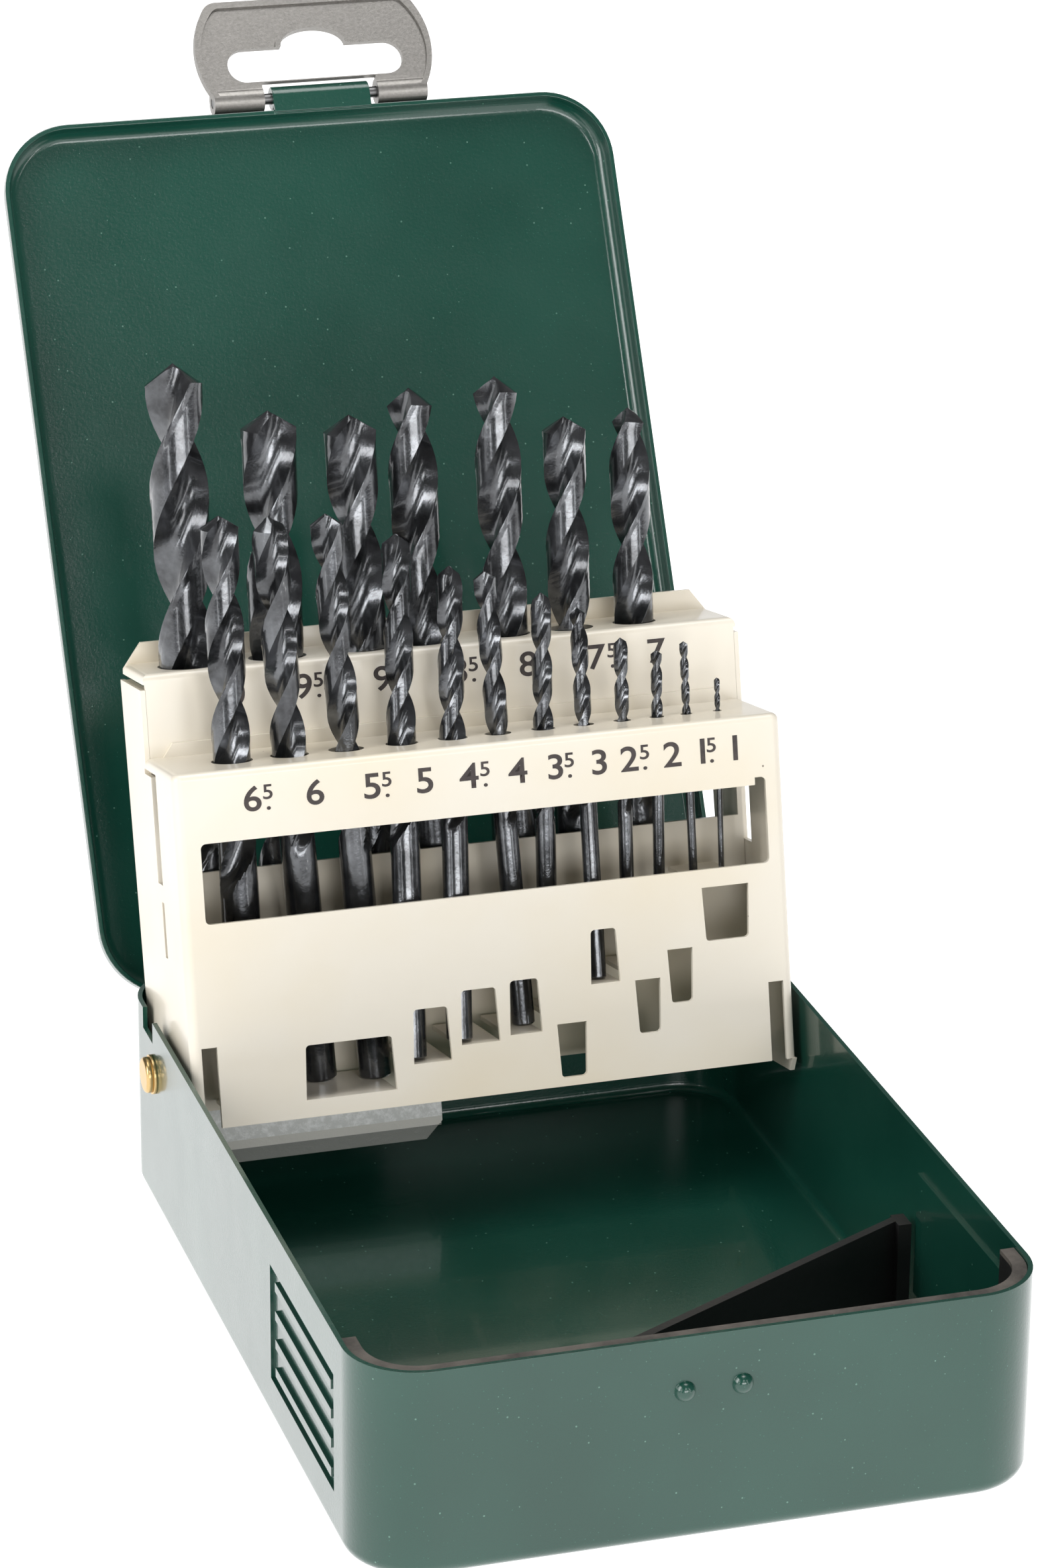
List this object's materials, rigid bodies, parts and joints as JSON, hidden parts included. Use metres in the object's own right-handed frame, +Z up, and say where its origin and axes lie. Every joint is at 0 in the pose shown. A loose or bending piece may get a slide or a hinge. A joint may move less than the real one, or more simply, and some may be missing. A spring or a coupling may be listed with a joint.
{
  "type": "drill bit case",
  "caption": "Flat sheet-steel drill bit case, open, with a stepped rack of graded twist drill bits standing up, a rear-hinged lid and a hanging latch.",
  "frame": {"origin": "centre of the tray's flat underside", "axes": "+X to the right seen from the front, +Y back to the lid's hinge, +Z up; the lid is open and the rack stands up"},
  "size_m": [0.1136, 0.2506, 0.1816],
  "materials": {
    "green_paint": "gloss",
    "cream_paint": "gloss",
    "liner_black": "satin",
    "hanger_grey": "satin",
    "brass": "satin",
    "steel": "satin",
    "black_oxide": "gloss"
  },
  "bodies": {
    "base": {"base_tray": "green_paint", "front_liner": "liner_black", "hinge_pin": "steel", "rivet_left": "brass", "rivet_right": "brass", "washer_left": "brass", "washer_right": "brass", "spacer_left": "steel", "spacer_right": "steel"},
    "lid": {"lid_shell": "green_paint", "hanger_pin": "steel"},
    "latch": {"hanger_latch": "hanger_grey"},
    "rack": {"front_rack": "cream_paint", "rear_rack": "cream_paint"},
    "drill_10_0": {"bit_10_0": "black_oxide"},
    "drill_09_5": {"bit_09_5": "black_oxide"},
    "drill_09_0": {"bit_09_0": "black_oxide"},
    "drill_08_5": {"bit_08_5": "black_oxide"},
    "drill_08_0": {"bit_08_0": "black_oxide"},
    "drill_07_5": {"bit_07_5": "black_oxide"},
    "drill_07_0": {"bit_07_0": "black_oxide"},
    "drill_06_5": {"bit_06_5": "black_oxide"},
    "drill_06_0": {"bit_06_0": "black_oxide"},
    "drill_05_5": {"bit_05_5": "black_oxide"},
    "drill_05_0": {"bit_05_0": "black_oxide"},
    "drill_04_5": {"bit_04_5": "black_oxide"},
    "drill_04_0": {"bit_04_0": "black_oxide"},
    "drill_03_5": {"bit_03_5": "black_oxide"},
    "drill_03_0": {"bit_03_0": "black_oxide"},
    "drill_02_5": {"bit_02_5": "black_oxide"},
    "drill_02_0": {"bit_02_0": "black_oxide"},
    "drill_01_5": {"bit_01_5": "black_oxide"},
    "drill_01_0": {"bit_01_0": "black_oxide"}
  },
  "joints": [
    {"name": "lid_hinge", "type": "hinge", "parent": "base", "child": "lid", "pos_m": [0, 0.0791, 0.0285], "axis": [1, 0, 0], "range_deg": [0, 118.8]},
    {"name": "rack_pivot", "type": "hinge", "parent": "base", "child": "rack", "pos_m": [0, 0.0559, 0.0256], "axis": [1, 0, 0], "range_deg": [0, 105.5]},
    {"name": "latch_hinge", "type": "hinge", "parent": "lid", "child": "latch", "pos_m": [0, 0.16103, 0.1657], "axis": [1, 0, 0], "range_deg": [0, 100]},
    {"name": "bit_slide_10_0", "type": "slide", "parent": "rack", "child": "drill_10_0", "axis": [-0.0146, -0.2198, -0.9754], "range_m": [-0.0869, 0]},
    {"name": "bit_slide_09_5", "type": "slide", "parent": "rack", "child": "drill_09_5", "axis": [-0.0256, -0.2198, -0.9752], "range_m": [-0.0869, 0]},
    {"name": "bit_slide_09_0", "type": "slide", "parent": "rack", "child": "drill_09_0", "axis": [-0.0037, -0.2198, -0.9755], "range_m": [-0.0869, 0]},
    {"name": "bit_slide_08_5", "type": "slide", "parent": "rack", "child": "drill_08_5", "axis": [-0.0069, -0.2198, -0.9755], "range_m": [-0.0772, 0]},
    {"name": "bit_slide_08_0", "type": "slide", "parent": "rack", "child": "drill_08_0", "axis": [-0.0124, -0.2198, -0.9755], "range_m": [-0.0772, 0]},
    {"name": "bit_slide_07_5", "type": "slide", "parent": "rack", "child": "drill_07_5", "axis": [-0.0235, -0.2198, -0.9753], "range_m": [-0.0772, 0]},
    {"name": "bit_slide_07_0", "type": "slide", "parent": "rack", "child": "drill_07_0", "axis": [-0.0235, -0.2198, -0.9753], "range_m": [-0.0772, 0]},
    {"name": "bit_slide_06_5", "type": "slide", "parent": "rack", "child": "drill_06_5", "axis": [-0.0102, -0.2198, -0.9755], "range_m": [-0.0635, 0]},
    {"name": "bit_slide_06_0", "type": "slide", "parent": "rack", "child": "drill_06_0", "axis": [0.0509, -0.126, -0.9907], "range_m": [-0.0619, 0]},
    {"name": "bit_slide_05_5", "type": "slide", "parent": "rack", "child": "drill_05_5", "axis": [0.0388, -0.1747, -0.9839], "range_m": [-0.0616, 0]},
    {"name": "bit_slide_05_0", "type": "slide", "parent": "rack", "child": "drill_05_0", "axis": [-0.0565, -0.3194, -0.9459], "range_m": [-0.058, 0]},
    {"name": "bit_slide_04_5", "type": "slide", "parent": "rack", "child": "drill_04_5", "axis": [-0.0707, -0.3328, -0.9403], "range_m": [-0.0558, 0]},
    {"name": "bit_slide_04_0", "type": "slide", "parent": "rack", "child": "drill_04_0", "axis": [0.0221, -0.2472, -0.9687], "range_m": [-0.0546, 0]},
    {"name": "bit_slide_03_5", "type": "slide", "parent": "rack", "child": "drill_03_5", "axis": [-0.0354, -0.2156, -0.9758], "range_m": [-0.0529, 0]},
    {"name": "bit_slide_03_0", "type": "slide", "parent": "rack", "child": "drill_03_0", "axis": [-0.0373, -0.3362, -0.9411], "range_m": [-0.0479, 0]},
    {"name": "bit_slide_02_5", "type": "slide", "parent": "rack", "child": "drill_02_5", "axis": [-0.0262, -0.2174, -0.9757], "range_m": [-0.0469, 0]},
    {"name": "bit_slide_02_0", "type": "slide", "parent": "rack", "child": "drill_02_0", "axis": [-0.0401, -0.2171, -0.9753], "range_m": [-0.0423, 0]},
    {"name": "bit_slide_01_5", "type": "slide", "parent": "rack", "child": "drill_01_5", "axis": [-0.0073, -0.2163, -0.9763], "range_m": [-0.0323, 0]},
    {"name": "bit_slide_01_0", "type": "slide", "parent": "rack", "child": "drill_01_0", "axis": [-0.0255, -0.2162, -0.976], "range_m": [-0.0323, 0]}
  ],
  "couplings": [
    {"joint": "rack_pivot", "follows": "lid_hinge", "ratio": 0.88805}
  ]
}
